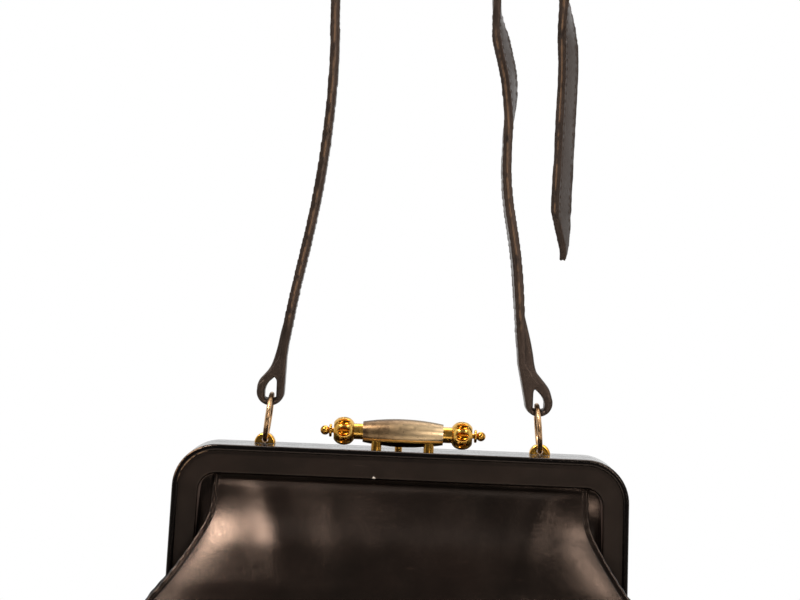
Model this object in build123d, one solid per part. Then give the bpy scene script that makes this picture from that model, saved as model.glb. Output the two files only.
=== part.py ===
from build123d import *
import math
import os

# Leather handbag on a two-half metal frame, with a barrel clasp and a strap that stands over it.
# Millimetres, Z up. The origin is the middle of the base's underside, and the front faces -Y.

# Frame: two U-shaped halves hinged at the lower ends of their arms
FRAME_TOP = 200.0
HINGE_HEIGHT = 110.0
FRAME_HALF_WIDTH = 114.8
GAUGE_DROP = 29.0
ARM_FLARE = 1.5
FRAME_BAND = 13.0
TOP_BAND = 14.2
FRAME_CORNER = 22.0
HALF_DEPTH = 16.0
PARTING_GAP = 0.6
ARM_END_RISE = 6.0

# Leather over the frame: a rounded bead, a groove and a flat band
COVER_THICKNESS = 1.5
BEAD_WIDTH = 3.0
BEAD_PROUD = 0.9
BEAD_ROUNDING = 1.2
GROOVE_WIDTH = 1.5
GROOVE_DEPTH = 0.5
BAND_ROUNDING = 0.8

# Metal channel inside the leather, and its hinge ears
CHANNEL_SHEET = 1.2
CHANNEL_SETBACK = 0.8
GLUE_LINE = 0.1
EAR_RADIUS = 5.0
EAR_STEM = 7.0
EAR_LAP = 1.5
EAR_GAP = 0.3
RIVET_RADIUS = 1.5
RIVET_HEAD_RADIUS = 2.8
RIVET_HEAD_HEIGHT = 1.2
RUNNING_CLEARANCE = 0.05

# Fold in the front and the sides under the hinge
FOLD_UNDER_HINGE = 20.0
FOLD_OVER_HINGE = 2.0
FOLD_BOTTOM = HINGE_HEIGHT - FOLD_UNDER_HINGE
FOLD_TOP = HINGE_HEIGHT + FOLD_OVER_HINGE

# Pouch: height above the base, side seam outside the frame's side, corner depth, bow of the panel
POUCH_FORM = [
    (0.0, 13.2, 38.0, 4.0),
    (20.0, 19.2, 43.0, 5.0),
    (60.0, 25.2, 45.0, 6.0),
    (FOLD_BOTTOM, 25.2, 45.0, 6.0),
    (FOLD_TOP, 16.2, 41.5, 5.0),
    (FRAME_TOP - 69.0, 1.2, 36.0, 4.0),
    (FRAME_TOP - 60.0, -5.3, 32.5, 3.5),
    (FRAME_TOP - 46.5, -13.8, 26.5, 3.0),
    (FRAME_TOP - 35.0, -19.3, 21.0, 2.0),
    (FRAME_TOP - 22.0, -20.6, 16.2, 1.0),
    (FRAME_TOP - TOP_BAND - 0.4, -20.8, 13.8, 0.4),
]
# Middle of the gusset, outside the frame's side, where it is pinched in under the hinge
GUSSET_FORM = [
    (0.0, 9.2),
    (30.0, 15.7),
    (60.0, 20.2),
    (HINGE_HEIGHT - 30.0, 18.7),
    (FOLD_BOTTOM, 14.2),
    (HINGE_HEIGHT - 14.0, 4.2),
    (HINGE_HEIGHT - 9.0, -6.8),
    (HINGE_HEIGHT - 4.0, -12.3),
    (FOLD_TOP, -14.8),
]
LEATHER = 2.0
BASE_THICKNESS = 2.7
SOFT_CLEARANCE = 0.3
WELT_DIAMETER = 4.0
WELT_MARGIN = 0.9
GUSSET_MARGIN = 0.9
CORNER_MARGIN = 2.2
TUCK_DEPTH = 7.0
CORNER_GUSSET_DROP = 2.0
CORNER_GUSSET_STEP = 22.0
PLEAT_DROP = 24.0
PLEAT_DEPTH = 14.0
PLEAT_REACH = 9.0

# Clasp: a barrel on the front half, a sliding rod with knobs, and a catch on the rear half
CLASP_RISE = 8.5
CLASP_SETBACK = 4.5
BARREL_LENGTH = 40.5
BARREL_MID_RADIUS = 7.1
BARREL_END_RADIUS = 5.25
BARREL_WALL = 1.2
BARREL_SPLIT = 3.55
RIDGE_WIDTH = 0.8
RIDGE_PROUD = 0.4
POST_SPACING = 26.4
POST_RADIUS = 2.6
POST_SETBACK = 7.0
ROD_RADIUS = 2.0
ROD_SETBACK = 2.0
NECK_RADIUS = 4.0
NECK_LENGTH = 4.5
NECK_REACH = 5.2
KNOB_LENGTH = 10.2
KNOB_RADIUS = 7.25
KNOB_END_RADIUS = 4.4
KNOB_FLUTES = 8
FLUTE_LENGTH = 8.6
FLUTE_RADIUS = 2.3
FINIAL_LENGTH = 6.85
FINIAL_DISC_RADIUS = 3.25
FINIAL_BULB_RADIUS = 2.4
FINIAL_NECK_RADIUS = 1.25
COLLAR_START = 2.0
COLLAR_WIDTH = 4.0
COLLAR_RADIUS = 4.4
WEB_WIDTH = 1.2
WEB_GAP = 1.35
WEB_ROOM = 0.35
WEB_SINK = 0.4
SPRING_RADIUS = 3.0
SPRING_WIRE = 0.6
SPRING_TURNS = 4
CATCH_X = -2.0
CATCH_Y = 2.4
CATCH_RADIUS = 1.85
CATCH_HEIGHT = 7.0
NOSE_WIDTH = 2.6
NOSE_HEIGHT = 1.6
NOSE_REACH = 4.2
CATCH_ROOM = 0.75

# Anchors and rings
ANCHOR_X = 70.0
ANCHOR_Y = 5.5
ANCHOR_WIDTH = 10.5
ANCHOR_LENGTH = 6.5
ANCHOR_HEIGHT = 5.3
ANCHOR_ROUNDING = 1.0
ANCHOR_SEAT = 0.1
RING_RADIUS = 11.75
RING_WIRE_RADIUS = 1.25
RING_LEAN = 6.0
RING_CLEARANCE = 0.35

# Strap
STRAP_WIDTH = 12.0
STRAP_THICKNESS = 4.0
LOOP_HOLE = 6.0
LOOP_HOLE_HEIGHT = 11.0
LOOP_WALL = 4.0
LONG_STRAP = [
    (-62.6, 244.4),
    (-59.2, 270.0),
    (-50.6, 315.0),
    (-44.6, 361.7),
    (-43.0, 404.4),
    (-43.6, 424.3),
    (-42.6, 445.0),
    (-36.0, 464.0),
    (-22.0, 476.0),
    (-5.0, 478.5),
    (11.0, 468.5),
    (24.5, 455.5),
    (34.7, 448.1),
    (44.9, 440.7),
    (58.0, 440.0),
    (66.0, 441.0),
    (71.0, 437.0),
    (72.5, 431.5),
]
# Tail: x, height, and how far it has turned to bring its front edge to the left
TAIL = [
    (72.2, 434.0, 0.0),
    (73.7, 424.0, -18.0),
    (75.0, 413.0, -32.0),
    (75.9, 403.0, -36.0),
    (76.2, 385.0, -36.0),
    (75.9, 365.0, -36.0),
    (75.7, 340.0, -36.0),
    (76.0, 320.0, -36.0),
    (77.2, 298.8, -36.0),
]
TAIL_SHOULDER = 20.0
SHORT_STRAP = [
    (58.9, 246.1),
    (56.0, 278.5),
    (53.0, 303.4),
    (47.7, 333.2),
    (46.9, 363.2),
    (46.2, 390.7),
    (42.6, 405.5),
]
BUCKLE_HEEL = (38.5, 437.5)
BUCKLE_FAR = (28.5, 457.5)
BUCKLE_WIRE_RADIUS = 1.5
BUCKLE_SIDE_ROOM = 1.0
BUCKLE_CORNER = 3.5
PRONG_RADIUS = 1.1
PRONG_LOOP_RADIUS = 3.2
PRONG_LOOP_WIDTH = 2.4
PRONG_SLOT_ROOM = 0.5
PRONG_OVERHANG = 2.5
PRONG_HOLE_LENGTH = 8.0

# Sizes that follow from the ones above
PARTING = PARTING_GAP / 2
FRONT_FACE = PARTING + HALF_DEPTH
COVER_BOTTOM = HINGE_HEIGHT + ARM_END_RISE
CORNER_GUSSET_TOP = FRAME_TOP - TOP_BAND - CORNER_GUSSET_DROP
PLEAT_TOP = FRAME_TOP - PLEAT_DROP
BAND_CORNER = FRAME_CORNER - FRAME_BAND
WELT_RADIUS = WELT_DIAMETER / 2
BARREL_END = BARREL_LENGTH / 2
KNOB_START = BARREL_END + NECK_LENGTH
WEB_START = BARREL_END - NECK_REACH - WEB_GAP - WEB_WIDTH
KNOB_STOP = KNOB_START + KNOB_LENGTH
CLASP_CENTRE = Location((0, -CLASP_SETBACK, FRAME_TOP + CLASP_RISE))
RING_FOOT = FRAME_TOP + RING_CLEARANCE + RING_WIRE_RADIUS
RING_SHIFT = RING_RADIUS * math.sin(math.radians(RING_LEAN))
RING_X = ANCHOR_X - RING_SHIFT
RING_Z = RING_FOOT + RING_RADIUS * math.cos(math.radians(RING_LEAN))
LOOP_X = RING_X - RING_SHIFT / 2


def write(name, shape):
    export_step(shape, "parts/" + name + ".step")


def along_x(solid):
    return Rot(0, 90, 0) * solid


def rear_of(shape):
    return mirror(shape, about=Plane.XZ)


def left_of(shape):
    return mirror(shape, about=Plane.YZ)


def arm_x(inset, height):
    lean = math.radians(ARM_FLARE)
    gauge = FRAME_TOP - GAUGE_DROP
    return FRAME_HALF_WIDTH + (gauge - height) * math.tan(lean) - inset / math.cos(lean)


def frame_outline(inset, bottom):
    top = FRAME_TOP - inset * TOP_BAND / FRAME_BAND
    low = arm_x(inset, bottom)
    high = arm_x(inset, top)
    face = make_face(Polyline((-low, bottom), (-high, top), (high, top), (low, bottom), close=True))
    corners = face.vertices().sort_by(Axis.Y)[-2:]
    return fillet(corners, FRAME_CORNER - inset)


def frame_bar(outer, inner, bottom, near, far):
    ring = frame_outline(outer, bottom) - frame_outline(inner, bottom - 1)
    return extrude(Plane.XZ.offset(near) * ring, far - near)


def frame_cover():
    body = frame_bar(0, FRAME_BAND, COVER_BOTTOM, PARTING, FRONT_FACE)
    inner_edges = body.faces().sort_by(Axis.Y)[0].edges().filter_by(
        lambda e: abs(e.center().X) < arm_x(FRAME_BAND - 1, e.center().Z)
        and e.center().Z > COVER_BOTTOM + 1
        and e.center().Z < FRAME_TOP - FRAME_BAND / 2
    )
    body = fillet(inner_edges, BAND_ROUNDING)
    bead = frame_bar(0, BEAD_WIDTH, COVER_BOTTOM, FRONT_FACE - COVER_THICKNESS, FRONT_FACE + BEAD_PROUD)
    bead = fillet(bead.faces().sort_by(Axis.Y)[0].edges(), BEAD_ROUNDING)
    groove = frame_bar(
        BEAD_WIDTH,
        BEAD_WIDTH + GROOVE_WIDTH,
        COVER_BOTTOM - 1,
        FRONT_FACE - GROOVE_DEPTH,
        FRONT_FACE + 1,
    )
    room = frame_bar(
        COVER_THICKNESS,
        FRAME_BAND + 1,
        COVER_BOTTOM - 1,
        PARTING + COVER_THICKNESS,
        FRONT_FACE - COVER_THICKNESS,
    )
    return body + bead - groove - room


def ear_plate(inner_x, hole_radius, toward, lap):
    disc = Pos(inner_x, 0, HINGE_HEIGHT) * along_x(
        Cylinder(EAR_RADIUS, CHANNEL_SHEET, align=(Align.CENTER, Align.CENTER, Align.MIN))
    )
    reach = PARTING + COVER_THICKNESS + GLUE_LINE + EAR_STEM
    stem_height = ARM_END_RISE + lap
    profile = make_face(
        Polyline(
            (0, HINGE_HEIGHT),
            (toward * EAR_RADIUS, HINGE_HEIGHT),
            (toward * reach, COVER_BOTTOM),
            (toward * reach, HINGE_HEIGHT + stem_height),
            (toward * (reach - EAR_STEM), HINGE_HEIGHT + stem_height),
            (toward * (reach - EAR_STEM), COVER_BOTTOM),
            (0, HINGE_HEIGHT + EAR_RADIUS - 1),
            close=True,
        )
    )
    stem = extrude(Plane.YZ.offset(inner_x) * profile, CHANNEL_SHEET)
    hole = Pos(inner_x, 0, HINGE_HEIGHT) * along_x(Cylinder(hole_radius, 4 * CHANNEL_SHEET))
    return disc + stem - hole


def web_inner_x():
    return arm_x(COVER_THICKNESS + GLUE_LINE + CHANNEL_SHEET, COVER_BOTTOM)


def frame_channel():
    start = COVER_THICKNESS + GLUE_LINE
    near = PARTING + start
    far = FRONT_FACE - start
    block = frame_bar(start, FRAME_BAND - CHANNEL_SETBACK, COVER_BOTTOM, near, far)
    room = frame_bar(
        start + CHANNEL_SHEET,
        FRAME_BAND + 1,
        COVER_BOTTOM - 1,
        near + CHANNEL_SHEET,
        far - CHANNEL_SHEET,
    )
    return block - room


def front_channel():
    ear = ear_plate(web_inner_x(), RIVET_RADIUS + RUNNING_CLEARANCE, -1, EAR_LAP)
    return frame_channel() + ear + left_of(ear)


def rear_channel():
    plate_x = web_inner_x() - EAR_GAP - CHANNEL_SHEET
    ear = ear_plate(plate_x, RIVET_RADIUS, 1, EAR_STEM)
    start = PARTING + COVER_THICKNESS + GLUE_LINE
    joggle = Pos(plate_x, start, COVER_BOTTOM + 1) * Box(
        EAR_GAP + 1.5 * CHANNEL_SHEET,
        EAR_STEM,
        EAR_STEM - 1,
        align=(Align.MIN, Align.MIN, Align.MIN),
    )
    ear = ear + joggle
    return rear_of(frame_channel()) + ear + left_of(ear)


def hinge_rivet():
    inner = web_inner_x() - EAR_GAP - CHANNEL_SHEET
    outer = web_inner_x() + CHANNEL_SHEET + EAR_GAP
    foot = (Align.CENTER, Align.CENTER, Align.MIN)
    shaft = Pos(inner, 0, HINGE_HEIGHT) * along_x(Cylinder(RIVET_RADIUS, outer - inner, align=foot))
    head = Cylinder(RIVET_HEAD_RADIUS, RIVET_HEAD_HEIGHT, align=foot)
    head = fillet(head.edges().sort_by(Axis.Z)[-1], RIVET_HEAD_HEIGHT / 2)
    outer_head = Pos(outer, 0, HINGE_HEIGHT) * along_x(head)
    inner_head = Pos(inner, 0, HINGE_HEIGHT) * Rot(0, -90, 0) * head
    return shaft + outer_head + inner_head


def between(table, height):
    for low, high in zip(table, table[1:]):
        if height <= high[0]:
            share = (height - low[0]) / (high[0] - low[0])
            return [a + share * (b - a) for a, b in zip(low, high)][1:]
    return list(table[-1][1:])


def pouch_at(height):
    seam, corner, bow = between(POUCH_FORM, height)
    return FRAME_HALF_WIDTH + seam, corner, bow


def heights(table, low, high):
    inside = [row[0] for row in table if low + 1 < row[0] < high - 1]
    return [low] + inside + [high]


def panel_section(height):
    half, corner, bow = pouch_at(height)
    edge = half - WELT_DIAMETER - WELT_MARGIN
    outer = ThreePointArc((-edge, -corner), (0, -corner - bow), (edge, -corner))
    inner = ThreePointArc((-edge, -corner + LEATHER), (0, -corner - bow + LEATHER), (edge, -corner + LEATHER))
    face = make_face([outer, Line(outer @ 1, inner @ 1), inner, Line(inner @ 0, outer @ 0)])
    return Pos(0, 0, height) * face


def level(shape, low, high):
    above = split(shape, bisect_by=Plane.XY.offset(low), keep=Keep.TOP)
    return split(above, bisect_by=Plane.XY.offset(high), keep=Keep.BOTTOM)


def front_panel():
    levels = heights(POUCH_FORM, BASE_THICKNESS + SOFT_CLEARANCE, POUCH_FORM[-1][0])
    return loft([panel_section(z) for z in levels])


def panel_tuck():
    half, corner, bow = pouch_at(POUCH_FORM[-1][0])
    width = 2 * (half - WELT_DIAMETER - WELT_MARGIN)
    foot = POUCH_FORM[-1][0] - 2 * LEATHER
    face = PARTING + HALF_DEPTH - COVER_THICKNESS - GLUE_LINE - CHANNEL_SHEET - SOFT_CLEARANCE
    return Pos(0, -face, foot) * Box(
        width, LEATHER, TUCK_DEPTH + 2 * LEATHER, align=(Align.CENTER, Align.MIN, Align.MIN)
    )


def gusset_section(height):
    half, corner, bow = pouch_at(height)
    middle = FRAME_HALF_WIDTH + between(GUSSET_FORM, height)[0]
    end = corner - WELT_DIAMETER - GUSSET_MARGIN
    side = half - WELT_RADIUS
    outer = ThreePointArc((side, -end), (middle, 0), (side, end))
    inner = ThreePointArc((side - LEATHER, -end), (middle - LEATHER, 0), (side - LEATHER, end))
    face = make_face([outer, Line(outer @ 1, inner @ 1), inner, Line(inner @ 0, outer @ 0)])
    return Pos(0, 0, height) * face


def side_gusset(low, high):
    return loft([gusset_section(z) for z in heights(GUSSET_FORM, low, high)])


def corner_gusset_section(height):
    half, corner, bow = pouch_at(height)
    start = Vector(half - WELT_RADIUS, -corner + WELT_DIAMETER + CORNER_MARGIN)
    inside = height > FRAME_TOP - 2 * CORNER_GUSSET_STEP
    depth = FRONT_FACE - 2 * LEATHER if inside else FRONT_FACE + SOFT_CLEARANCE
    rounded = max(0, height - (FRAME_TOP - TOP_BAND - BAND_CORNER))
    drawn_in = BAND_CORNER - math.sqrt(BAND_CORNER**2 - rounded**2)
    stop = Vector(arm_x(FRAME_BAND, height) - 2 * SOFT_CLEARANCE - drawn_in, -depth)
    run = (stop - start).normalized()
    inward = Vector(-run.Y, run.X) * LEATHER
    face = make_face(Polyline(start, stop, stop + inward, start + inward, close=True))
    return Pos(0, 0, height) * face


def corner_gusset():
    levels = heights(POUCH_FORM, FOLD_TOP, CORNER_GUSSET_TOP)
    levels = levels[:-1] + [FRAME_TOP - TOP_BAND - BAND_CORNER / 2] + levels[-1:]
    return loft([corner_gusset_section(z) for z in levels], ruled=True)


def gusset_pleat():
    def section(height):
        edge = arm_x(FRAME_BAND, height) - 2 * SOFT_CLEARANCE
        back = edge - LEATHER
        face = make_face(
            Polyline(
                (edge, -PLEAT_REACH),
                (edge - PLEAT_DEPTH, 0),
                (edge, PLEAT_REACH),
                (back, PLEAT_REACH),
                (back - PLEAT_DEPTH, 0),
                (back, -PLEAT_REACH),
                close=True,
            )
        )
        return Pos(0, 0, height) * face

    return loft([section(FOLD_TOP), section(PLEAT_TOP)])


def welt(low, high):
    rings = []
    for height in heights(POUCH_FORM, low, high):
        half, corner, bow = pouch_at(height)
        rings.append(Pos(half - WELT_RADIUS, -corner + WELT_RADIUS, height) * Circle(WELT_RADIUS))
    return loft(rings)


def base():
    half, corner, bow = pouch_at(0)
    middle = FRAME_HALF_WIDTH + GUSSET_FORM[0][1]
    front = ThreePointArc((-half, -corner), (0, -corner - bow), (half, -corner))
    right = ThreePointArc((half, -corner), (middle, 0), (half, corner))
    back = ThreePointArc((half, corner), (0, corner + bow), (-half, corner))
    left = ThreePointArc((-half, corner), (-middle, 0), (-half, -corner))
    face = make_face([front, right, back, left])
    face = fillet(face.vertices(), WELT_DIAMETER)
    plate = extrude(face, BASE_THICKNESS)
    return fillet(plate.edges().group_by(Axis.Z)[0], BASE_THICKNESS / 2)


def turned(points_face):
    return CLASP_CENTRE * revolve(points_face, Axis.X)


def barrel_arc(grow):
    end = BARREL_END_RADIUS + grow
    return ThreePointArc((-BARREL_END, end), (0, BARREL_MID_RADIUS + grow), (BARREL_END, end))


def barrel_solid(grow):
    arc = barrel_arc(grow)
    return turned(make_face([arc, Polyline(arc @ 1, (BARREL_END, 0), (-BARREL_END, 0), arc @ 0)]))


def barrel_shell():
    reach = BARREL_END - BARREL_WALL
    arc = ThreePointArc(
        (-reach, BARREL_END_RADIUS - BARREL_WALL),
        (0, BARREL_MID_RADIUS - BARREL_WALL),
        (reach, BARREL_END_RADIUS - BARREL_WALL),
    )
    cavity = turned(make_face([arc, Polyline(arc @ 1, (reach, 0), (-reach, 0), arc @ 0)]))
    bore = CLASP_CENTRE * along_x(Cylinder(NECK_RADIUS + RUNNING_CLEARANCE, BARREL_LENGTH + 2))
    return barrel_solid(0) - cavity - bore


def barrel_inside(along):
    slimmer = (BARREL_MID_RADIUS - BARREL_END_RADIUS) * (along / BARREL_END) ** 2
    return BARREL_MID_RADIUS - slimmer - BARREL_WALL


def catch_slot():
    width = 2 * (CATCH_RADIUS + CATCH_ROOM)
    front = CATCH_Y - CATCH_RADIUS - CATCH_ROOM
    top = FRAME_TOP + CATCH_HEIGHT + 2 * CATCH_ROOM
    return Pos(CATCH_X, front, top) * Box(
        width, 2 * BARREL_MID_RADIUS, CLASP_RISE + CATCH_HEIGHT, align=(Align.CENTER, Align.MIN, Align.MAX)
    )


def below_split(drop, height):
    top = FRAME_TOP + CLASP_RISE - drop
    size = 2 * BARREL_LENGTH
    return Pos(0, 0, top) * Box(size, size, height, align=(Align.CENTER, Align.CENTER, Align.MAX))


def barrel_cover():
    lower = below_split(BARREL_SPLIT - RUNNING_CLEARANCE, 3 * BARREL_MID_RADIUS)
    return barrel_shell() - lower - catch_slot()


def barrel_ridge(depth):
    band = below_split(BARREL_SPLIT, RIDGE_WIDTH)
    return (barrel_solid(RIDGE_PROUD) - barrel_solid(depth)) & band


def barrel_tray():
    lower = below_split(BARREL_SPLIT, 3 * BARREL_MID_RADIUS)
    shell = barrel_shell() & lower
    foot = (Align.CENTER, Align.CENTER, Align.MIN)
    near = CLASP_CENTRE * Pos(WEB_START, 0, 0)
    disc = near * along_x(Cylinder(barrel_inside(WEB_START + WEB_WIDTH) - WEB_ROOM, WEB_WIDTH, align=foot))
    wide = near * along_x(Cylinder(barrel_inside(WEB_START) + WEB_SINK, WEB_WIDTH, align=foot))
    bore = CLASP_CENTRE * along_x(Cylinder(ROD_RADIUS + RUNNING_CLEARANCE, BARREL_LENGTH))
    ends = CLASP_CENTRE * along_x(Cylinder(NECK_RADIUS + RUNNING_CLEARANCE, BARREL_LENGTH + 2))
    tray = shell + (barrel_ridge(-BARREL_WALL / 2) - ends)
    return tray + (disc + (wide & lower) - bore) - catch_slot()


def clasp_post(side):
    foot = Pos(side * POST_SPACING / 2, -POST_SETBACK, FRAME_TOP)
    post = foot * Cylinder(POST_RADIUS, CLASP_RISE, align=(Align.CENTER, Align.CENTER, Align.MIN))
    return post - barrel_solid(0) - barrel_ridge(-BARREL_WALL)


def catch():
    post = Pos(CATCH_X, CATCH_Y, FRAME_TOP) * Cylinder(
        CATCH_RADIUS, CATCH_HEIGHT, align=(Align.CENTER, Align.CENTER, Align.MIN)
    )
    nose = Pos(CATCH_X, CATCH_Y, FRAME_TOP + CATCH_HEIGHT) * Box(
        NOSE_WIDTH, NOSE_REACH, NOSE_HEIGHT, align=(Align.CENTER, Align.MAX, Align.MAX)
    )
    return post + nose


def clasp_rod():
    return CLASP_CENTRE * along_x(Cylinder(ROD_RADIUS, 2 * (KNOB_STOP - ROD_SETBACK)))


def knob():
    middle = KNOB_START + KNOB_LENGTH / 2
    arc = ThreePointArc((KNOB_START, KNOB_END_RADIUS), (middle, KNOB_RADIUS), (KNOB_STOP, KNOB_END_RADIUS))
    body = revolve(make_face([arc, Polyline(arc @ 1, (KNOB_STOP, 0), (KNOB_START, 0), arc @ 0)]), Axis.X)
    half = FLUTE_LENGTH / 2
    almond_arc = ThreePointArc((-half, 0), (0, FLUTE_RADIUS), (half, 0))
    almond = revolve(make_face([almond_arc, Line(almond_arc @ 1, almond_arc @ 0)]), Axis.X)
    for turn in range(KNOB_FLUTES):
        angle = 360 / KNOB_FLUTES * turn
        body = body - Rot(angle, 0, 0) * Pos(middle, 0, KNOB_RADIUS) * almond
    neck_start = BARREL_END - NECK_REACH
    foot = (Align.CENTER, Align.CENTER, Align.MIN)
    neck = Pos(neck_start, 0, 0) * along_x(Cylinder(NECK_RADIUS, KNOB_START - neck_start, align=foot))
    bore = along_x(Cylinder(ROD_RADIUS, 2 * (KNOB_STOP - ROD_SETBACK)))
    return CLASP_CENTRE * (body + neck - bore)


def finial():
    disc_start = KNOB_STOP + 1.0
    disc_stop = disc_start + 1.4
    bulb = KNOB_STOP + FINIAL_LENGTH - FINIAL_BULB_RADIUS
    foot = (Align.CENTER, Align.CENTER, Align.MIN)
    stem = along_x(Cylinder(FINIAL_NECK_RADIUS, bulb - KNOB_STOP, align=foot))
    disc = along_x(Cylinder(FINIAL_DISC_RADIUS, disc_stop - disc_start, align=foot))
    disc = fillet(disc.edges().filter_by(GeomType.CIRCLE), (disc_stop - disc_start) * 0.4)
    shape = Pos(KNOB_STOP, 0, 0) * stem + Pos(disc_start, 0, 0) * disc
    return CLASP_CENTRE * (shape + Pos(bulb, 0, 0) * Sphere(FINIAL_BULB_RADIUS))


def latch_collar():
    start = CLASP_CENTRE * Pos(COLLAR_START, 0, 0)
    foot = (Align.CENTER, Align.CENTER, Align.MIN)
    ring = Cylinder(COLLAR_RADIUS, COLLAR_WIDTH, align=foot) - Cylinder(ROD_RADIUS, COLLAR_WIDTH, align=foot)
    return start * along_x(ring)


def clasp_spring():
    room = WEB_START - COLLAR_START - COLLAR_WIDTH - SPRING_WIRE - 2 * RUNNING_CLEARANCE
    path = Helix(pitch=room / SPRING_TURNS, height=room, radius=SPRING_RADIUS)
    coil = sweep(Plane(origin=path @ 0, z_dir=path % 0) * Circle(SPRING_WIRE / 2), path, is_frenet=True)
    start = COLLAR_START + COLLAR_WIDTH + SPRING_WIRE / 2 + RUNNING_CLEARANCE
    return CLASP_CENTRE * Pos(start, 0, 0) * along_x(coil)


def ring(wire_radius):
    torus = Rot(0, 90, 0) * Torus(RING_RADIUS, wire_radius)
    return Pos(RING_X, ANCHOR_Y, RING_Z) * Rot(0, -RING_LEAN, 0) * torus


def anchor():
    half = ANCHOR_WIDTH / 2
    arc = ThreePointArc((-half, 1), (0, ANCHOR_HEIGHT), (half, 1))
    face = make_face([arc, Polyline(arc @ 1, (half, 0), (-half, 0), arc @ 0)])
    saddle = extrude(Plane.XZ * face, ANCHOR_LENGTH / 2, both=True)
    saddle = fillet(saddle.edges().filter_by(GeomType.CIRCLE), ANCHOR_ROUNDING)
    return Pos(ANCHOR_X, ANCHOR_Y, FRAME_TOP + ANCHOR_SEAT) * saddle - ring(RING_WIRE_RADIUS + RING_CLEARANCE)


def side_points(path, offset, count):
    points = []
    for step in range(count + 1):
        share = step / count
        along = path % share
        points.append(path @ share + Vector(-along.Y, along.X) * offset)
    return points


def ribbon(points, steps):
    path = Spline([Vector(x, z) for x, z in points])
    left = Spline(side_points(path, STRAP_THICKNESS / 2, steps))
    right = Spline(side_points(path, -STRAP_THICKNESS / 2, steps))
    return make_face([left, Line(left @ 1, right @ 1), right, Line(right @ 0, left @ 0)])


def strap_solid(face):
    middle = Plane.XZ.offset(-ANCHOR_Y)
    return extrude(middle * face, STRAP_WIDTH / 2, both=True)


def strap_loop(side):
    bottom = RING_RADIUS - RING_WIRE_RADIUS - RING_CLEARANCE
    centre = (side * LOOP_X, RING_Z + bottom + LOOP_HOLE / 2)
    outer = Pos(*centre) * Circle(LOOP_HOLE / 2 + LOOP_WALL)
    return outer, centre


def strap_hole(side):
    bottom = RING_Z + RING_RADIUS - RING_WIRE_RADIUS - RING_CLEARANCE
    centre = Pos(side * LOOP_X, bottom + LOOP_HOLE_HEIGHT / 2)
    slot = centre * SlotOverall(LOOP_HOLE_HEIGHT, LOOP_HOLE, rotation=90)
    hole = extrude(Plane.XZ.offset(-ANCHOR_Y) * slot, STRAP_WIDTH, both=True)
    outer = RING_RADIUS + RING_WIRE_RADIUS + RING_CLEARANCE
    inner = RING_RADIUS - RING_WIRE_RADIUS - RING_CLEARANCE
    sweep_room = along_x(Cylinder(outer, LOOP_HOLE) - Cylinder(inner, LOOP_HOLE))
    return hole + Pos(side * LOOP_X, ANCHOR_Y, RING_Z) * sweep_room


def strap_leg(points, side, steps):
    leg = strap_solid(ribbon(points, steps))
    outer, centre = strap_loop(side)
    top = Vector(*points[0])
    across = Vector(1, 0) * (STRAP_THICKNESS / 2)
    wide = Vector(LOOP_HOLE / 2 + LOOP_WALL, 0)
    low = Vector(*centre)
    taper = make_face(Polyline(low - wide, low + wide, top + across, top - across, close=True))
    return leg + strap_solid(outer + taper) - strap_hole(side)


def tail():
    section = Rectangle(STRAP_THICKNESS, STRAP_WIDTH)
    sections = [Pos(x, ANCHOR_Y, z) * Rot(0, 0, turned_by) * section for x, z, turned_by in TAIL]
    x, tip, turned_by = TAIL[-1]
    half = STRAP_WIDTH / 2
    shoulder = tip + TAIL_SHOULDER
    corner = make_face(
        Polyline(
            (0, tip),
            (half, shoulder),
            (STRAP_WIDTH, shoulder),
            (STRAP_WIDTH, tip - half),
            (0, tip - half),
            close=True,
        )
    )
    offcut = extrude(Plane.YZ * corner, STRAP_WIDTH, both=True)
    place = Pos(x, ANCHOR_Y, 0) * Rot(0, 0, turned_by)
    return loft(sections) - place * offcut - place * rear_of(offcut)


def buckle_axes():
    heel = Vector(BUCKLE_HEEL[0], ANCHOR_Y, BUCKLE_HEEL[1])
    far = Vector(BUCKLE_FAR[0], ANCHOR_Y, BUCKLE_FAR[1])
    along = (far - heel).normalized()
    outward = Vector(along.Z, 0, -along.X)
    return heel, far, along, outward


def prong_hole():
    heel, far, along, outward = buckle_axes()
    width = 2 * (PRONG_RADIUS + PRONG_SLOT_ROOM)
    length = (far - heel).length
    plane = Plane(origin=heel + along * (length / 2), x_dir=along, z_dir=outward)
    return plane * Box(length + PRONG_HOLE_LENGTH, width, 4 * STRAP_THICKNESS)


def strap_long():
    return strap_leg(LONG_STRAP, -1, 80) + tail() - prong_hole()


def strap_short():
    heel, far, along, outward = buckle_axes()
    points = SHORT_STRAP + [BUCKLE_HEEL]
    eye = BUCKLE_WIRE_RADIUS + SOFT_CLEARANCE
    fold = Pos(*BUCKLE_HEEL) * Circle(eye + STRAP_THICKNESS / 2)
    strap = strap_leg(points, 1, 40) + strap_solid(fold)
    bar = Pos(heel) * Rot(90, 0, 0) * Cylinder(eye, 2 * STRAP_WIDTH)
    room = PRONG_LOOP_RADIUS + 2 * PRONG_SLOT_ROOM
    slot = Pos(heel) * Rot(90, 0, 0) * Cylinder(
        room + STRAP_THICKNESS / 2, PRONG_LOOP_WIDTH + 2 * PRONG_SLOT_ROOM
    )
    return strap - bar - slot


def buckle_frame():
    heel, far, along, outward = buckle_axes()
    half = STRAP_WIDTH / 2 + BUCKLE_SIDE_ROOM + BUCKLE_WIRE_RADIUS
    across = Vector(0, 1, 0) * half
    path = FilletPolyline(
        heel - across, heel + across, far + across, far - across, radius=BUCKLE_CORNER, close=True
    )
    start = path.edges().sort_by(Axis.Z)[0]
    plane = Plane(origin=start @ 0.5, z_dir=start % 0.5)
    return sweep(plane * Circle(BUCKLE_WIRE_RADIUS), path)


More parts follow.
